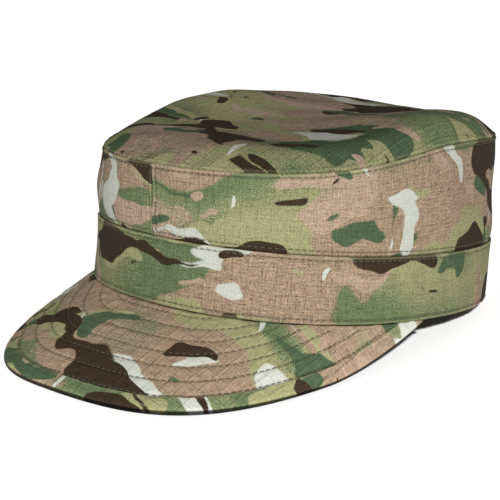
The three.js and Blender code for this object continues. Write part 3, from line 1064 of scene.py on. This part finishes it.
class CAP_OT_crown_side(CapOperator, bpy.types.Operator):
    """Build both halves of the crown's side, with the front and back seams and the rows of stitches on
    them"""

    bl_idname = "cap.crown_side"
    bl_label = "Crown Side"

    def execute(self, context):
        s, t = context.scene.cap_sizes, context.scene.cap_stitches
        rows = []
        for name, side in (("left", 1), ("right", -1)):
            around, up, outer = side_grid(s, side)
            normal = normals(outer, wrap=False)
            wall = seam_height(s, around) - s.band_height
            from_top, from_band = (1 - up) * wall, up * wall
            along = around * s.band_half_length
            far = np.abs(along)
            from_front, from_back = far - far.min(), far.max() - far
            seam = np.minimum(from_front, from_back)
            free = fade(from_band, "side out of the band")
            relief = bell(from_top, RIDGES["top seam"]) - groove(from_top, t.seam_row, GROOVE)
            relief -= LOW_SINK * t.sink * bump(from_band, t.seam_row, GROOVE)
            relief += bell(seam, RIDGES["upright seam"]) - groove(seam, t.seam_row, GROOVE) * free
            relief += t.pucker * puckers("top seam", along, from_top, side)
            relief += t.pucker * puckers("band seam", along, from_band, side)
            relief += t.pucker * puckers("upright seam", up * SIDE_SPANS["puckers"], seam, side)
            soft = fade(from_top, "side waves at the top") * fade(from_band, "side waves at the band")
            relief += waves("side", along, up * SIDE_SPANS["waves"], side) * soft
            foot = (up + 1) * (s.band_step - s.seam_gap)
            edge = rounding(np.minimum(from_top, foot), s.crown_wall / 2) * rounding(seam, s.crown_wall / 2)
            edge[[0, -1]] = 0
            relief *= edge * free
            # Paler tone along the folds of the seams, partly wear and partly painted highlight
            fold = np.maximum(bell(from_top, FOLDS["top seam"]), bell(seam, FOLDS["upright seam"])) * free
            # Painted shade in the creases along the rows of stitches and in the lines of the seams
            dark = np.maximum.reduce([
                crease("top seam", from_top, t.seam_row),
                crease("band seam", from_band, t.seam_row),
                crease("upright seam", seam, t.seam_row) * free,
                crease("upright line", seam),
                crease("band line", from_band),
            ])
            uv = np.stack([along, up * SIDE_SPANS["print"]], axis=-1)
            form = (outer, normal, s.crown_wall, edge, relief, uv, upright(s))
            marks = {"fold": fold, "crease": dark}
            clothe(f"crown_side_{name}", "crown_cloth", f"side_{name}_cloth", form, marks)
            face = outer + normal * relief[..., None]
            level, columns = up[0], np.arange(len(around), dtype=float)
            places = np.arange(len(level))
            for height in (1 - t.seam_row / wall[:, 0], t.seam_row / wall[:, 0]):
                row = np.interp(height, level, places)
                rows.append([path[SEAM_ENDS] for path in on_cloth(face, normal, columns, row)])
            row = np.interp(np.linspace(*UPRIGHT_ROW), level, places)
            gone = (from_front if side > 0 else from_back)[:, 0]
            order = np.argsort(gone)
            column = np.interp(t.seam_row, gone[order], columns[order])
            rows.append(on_cloth(face, normal, np.full_like(row, column), row))
        thread_piece("crown_threads", rows, "crown_cloth", upright(s))
        return {"FINISHED"}


class CAP_OT_band(CapOperator, bpy.types.Operator):
    """Build the folded band, with its two folds, their rows of stitches and the join at the back"""

    bl_idname = "cap.band"
    bl_label = "Band"

    def execute(self, context):
        s, t = context.scene.cap_sizes, context.scene.cap_stitches
        angle = np.linspace(-math.pi, math.pi, 721)
        h, w, step = s.band_height, s.band_wall, s.band_height - s.band_step
        lip = s.band_wall - s.crown_wall - s.seam_gap
        height = graded(
            (0, w / 2, 7),
            (w / 2, 0.005, 10),
            (0.005, step, 14),
            (step, step + 0.0002, 1),
            (step + 0.0002, h - 0.0045, 5),
            (h - 0.0045, h - lip / 2, 10),
            (h - lip / 2, h, 6),
        )
        around, up = np.meshgrid(angle[:-1], height, indexing="ij")
        x, y = oval(s, s.band_half_length, s.band_half_width, around)
        outer = point(x, y, up)
        normal = normals(outer, wrap=True)
        thickness = np.where(up > step, lip, w)
        from_top = h - up
        along = around * s.band_half_length
        join = np.abs(np.abs(along) - math.pi * s.band_half_length)
        relief = bell(from_top, RIDGES["band top"]) - groove(from_top, t.band_top_row, GROOVE)
        relief += bell(up, RIDGES["band foot"]) - groove(up, t.band_low_row, BAND_LOW_GROOVE)
        relief -= bell(join, RIDGES["band join"])
        relief += t.pucker * puckers("band top", along, from_top)
        relief += t.pucker * puckers("band foot", along, up)
        relief += waves("band", x * 1.2 + y, up)
        edge = rounding(from_top, lip / 2) * rounding(up, w / 2)
        edge[:, [0, -1]] = 0
        relief *= edge
        table = np.concatenate([around, np.full((1, len(height)), math.pi)])
        uv = np.stack([table * s.band_half_length, np.broadcast_to(height, table.shape)], axis=-1)
        # Painted shade in the creases along the band's rows of stitches and in its join
        dark = np.maximum.reduce([
            crease("band top", from_top, t.band_top_row),
            crease("band foot", up, t.band_low_row),
            crease("band join", join),
        ])
        # Paler tone along the band's folds, partly wear and partly painted highlight
        fold = np.maximum(bell(from_top, FOLDS["band top"]), bell(up, FOLDS["band foot"]))
        form = (outer, normal, thickness, edge, relief, uv, upright(s))
        clothe("band", "band_cloth", "band_print", form, {"fold": fold, "crease": dark}, wrap=True)
        face = outer + normal * relief[..., None]
        columns = np.arange(len(around), dtype=float)
        rows = []
        for level in (h - t.band_top_row, t.band_low_row):
            row = np.full_like(columns, np.interp(level, height, np.arange(len(height))))
            rows.append(on_cloth(face, normal, columns, row, wrap=True))
        thread_piece("band_threads", rows, "band_cloth", upright(s))
        return {"FINISHED"}


class CAP_OT_bill(CapOperator, bpy.types.Operator):
    """Build the stiff bill, quilted by rows of stitches that follow its edge, above and below"""

    bl_idname = "cap.bill"
    bl_label = "Bill"

    def execute(self, context):
        s, t = context.scene.cap_sizes, context.scene.cap_stitches
        across = np.linspace(-1, 1, 421)
        inward = graded((0, 0.022, 7), (0.022, 0.3, 38), (0.3, 1, 46))
        over, way = np.meshgrid(across, inward, indexing="ij")
        under_band = np.linspace(0, 1, 5)[1:] * s.band_wall
        angle, reach = np.meshgrid(across * s.bill_end, under_band, indexing="ij")
        x, y = oval(s, s.band_half_length - reach, s.band_half_width - reach, angle)
        outer = np.concatenate([bill_top(s, over, way), lay(s, point(x, y, -s.seam_gap))], axis=1)
        normal = normals(outer, wrap=False)
        distance, side = run(outer, 1), run(outer, 0)
        root = distance[:, [len(inward) - 1]] - distance
        ends = np.minimum(side, side[-1:] - side)
        taper = np.abs(across[:, None]) ** s.bill_taper * np.ones(distance.shape)
        thickness = s.bill_wall + (s.bill_end_wall - s.bill_wall) * taper
        reaches = t.bill_first_row + np.arange(t.bill_rows) * t.bill_row
        quilt = sum(bump(distance, reach, BILL_GROOVE) for reach in reaches)
        hidden = fade(root, "bill stitches")
        relief = -t.sink * quilt * hidden + bell(distance, RIDGES["bill edge"])
        uneven = t.pucker * BILL_PUCKERS * waves("bill", outer[..., 0], outer[..., 1])
        relief += uneven * fade(distance, "bill waves")
        relief += t.pucker * puckers("bill rows", side, distance - t.bill_first_row)
        border = t.bill_first_row - t.hem_row
        hem = 1 - smoothstep(distance, border - HEM_SOFT, border + HEM_SOFT)
        relief += t.hem_step * hem * fade(distance, "bill hem")
        edge = rounding(distance, thickness / 2) * rounding(ends, thickness / 2)
        edge[[0, -1]] = 0
        edge[:, [0, -1]] = 0
        relief = relief * edge
        # Painted shade in the quilting's creases and in the line at the hem's step
        dark = np.clip(quilt + crease("hem", distance, border + HEM_LINE), 0, 1)
        # The hem's fold is paler, partly wear and partly painted highlight; the shade marks are painted
        # shade on the edge and under it
        marks = {
            "fold": HEM_FOLD * bump(distance, border - HEM_SOFT, HEM_SOFT),
            "hem": hem,
            "crease": QUILT_CREASE_SHADE * dark * hidden,
            "shade": (1 - fade(distance, "shade on the edge"), 1 - fade(distance, "shade under the edge")),
        }
        form = (outer, normal, thickness, edge, relief, outer[..., :2], resting(s))
        clothe("bill", "bill_cloth", "bill_print", form, marks)
        face = outer + normal * relief[..., None]
        under = outer - normal * thickness[..., None]
        rows = []
        for reach in reaches:
            column = np.flatnonzero(root[:, 0] > reach + ROW_END)
            if len(column) < 4:
                continue
            last = np.sum(distance[column] <= reach, axis=1) - 1
            start, end = distance[column, last], distance[column, last + 1]
            row = last + (reach - start) / (end - start)
            for cloth, out in ((face, normal), (under, -normal)):
                rows.append(on_cloth(cloth, out, column.astype(float), row))
        thread_piece("bill_threads", rows, "bill_cloth", resting(s))
        return {"FINISHED"}


# Half the floor's width, how wide its light looks, and the camera's sensor in millimetres
FLOOR_REACH = 12.0
FLOOR_SOFTNESS = 3 * DEGREE
SENSOR = 36


class CAP_OT_stage(CapOperator, bpy.types.Operator):
    """Set the plain floor, the soft lights and the camera"""

    bl_idname = "cap.stage"
    bl_label = "Stage"

    def execute(self, context):
        g = context.scene.cap_stage
        corners = np.array([(-1, -1, 0), (1, -1, 0), (1, 1, 0), (-1, 1, 0)]) * FLOOR_REACH
        floor = make_mesh("floor", corners, [[0, 1, 2, 3]])
        material, _, shader = new_material("pale_floor", roughness=0.9)
        shader.inputs["Base Color"].default_value = (*g.floor, 1)
        floor.data.materials.append(material)
        world = bpy.data.worlds.new("studio")
        world.use_nodes = True
        world.node_tree.nodes["Background"].inputs["Color"].default_value = (1, 1, 1, 1)
        world.node_tree.nodes["Background"].inputs["Strength"].default_value = g.sky
        context.scene.world = world
        key = self.sun("key_light", g.azimuth + g.key_side, g.key_height, g.key_softness, g.key)
        overhead = self.sun("floor_light", g.azimuth, g.floor_height, FLOOR_SOFTNESS, g.floor_light)
        for lamp, state in ((key, "EXCLUDE"), (overhead, "INCLUDE")):
            linked = bpy.data.collections.new(f"{lamp.name}_reach")
            linked.objects.link(floor)
            linked.collection_objects[0].light_linking.link_state = state
            lamp.light_linking.receiver_collection = linked
        camera_data = bpy.data.cameras.new("camera")
        camera_data.lens = g.lens
        camera_data.sensor_width = SENSOR
        camera = bpy.data.objects.new("camera", camera_data)
        back = self.direction(g.azimuth, g.elevation)
        camera.location = Vector(g.aim) + back * g.distance
        camera.rotation_mode = "QUATERNION"
        camera.rotation_quaternion = Quaternion(back, g.roll) @ (-back).to_track_quat("-Z", "Y")
        context.scene.collection.objects.link(camera)
        context.scene.camera = camera
        context.scene.view_settings.view_transform = "Standard"
        return {"FINISHED"}

    @staticmethod
    def direction(azimuth, elevation):
        """Unit vector from the object towards a bearing and height."""
        flat = math.cos(elevation)
        return Vector((math.sin(azimuth) * flat, -math.cos(azimuth) * flat, math.sin(elevation)))

    def sun(self, name, azimuth, elevation, softness, strength):
        """An even light from far away, as wide as its softness."""
        data = bpy.data.lights.new(name, "SUN")
        data.energy = strength
        data.angle = softness
        lamp = bpy.data.objects.new(name, data)
        lamp.rotation_mode = "QUATERNION"
        lamp.rotation_quaternion = self.direction(azimuth, elevation).to_track_quat("Z", "Y")
        bpy.context.scene.collection.objects.link(lamp)
        return lamp


class CAP_PT_panel(bpy.types.Panel):
    """Lists the cap's pieces in the sidebar"""

    bl_label = "Patrol Cap"
    bl_idname = "CAP_PT_panel"
    bl_space_type = "VIEW_3D"
    bl_region_type = "UI"
    bl_category = "Cap"

    def draw(self, context):
        column = self.layout.column(align=True)
        for operator in OPERATORS:
            column.operator(operator.bl_idname)


OPERATORS = (CAP_OT_crown_top, CAP_OT_crown_side, CAP_OT_band, CAP_OT_bill, CAP_OT_stage)
SETTINGS = {
    "cap_sizes": CapSizes,
    "cap_stitches": StitchSizes,
    "cap_cloth": ClothLooks,
    "cap_stage": StageLooks,
}


def register():
    for kind in (*SETTINGS.values(), *OPERATORS, CAP_PT_panel):
        bpy.utils.register_class(kind)
    for name, kind in SETTINGS.items():
        setattr(bpy.types.Scene, name, PointerProperty(type=kind))


def unregister():
    for name in SETTINGS:
        delattr(bpy.types.Scene, name)
    for kind in (CAP_PT_panel, *reversed(OPERATORS), *reversed(SETTINGS.values())):
        bpy.utils.unregister_class(kind)


def main():
    """Builds every piece and the stage."""
    register()
    bpy.ops.cap.crown_top()
    bpy.ops.cap.crown_side()
    bpy.ops.cap.band()
    bpy.ops.cap.bill()
    bpy.ops.cap.stage()


if __name__ == "__main__":
    main()
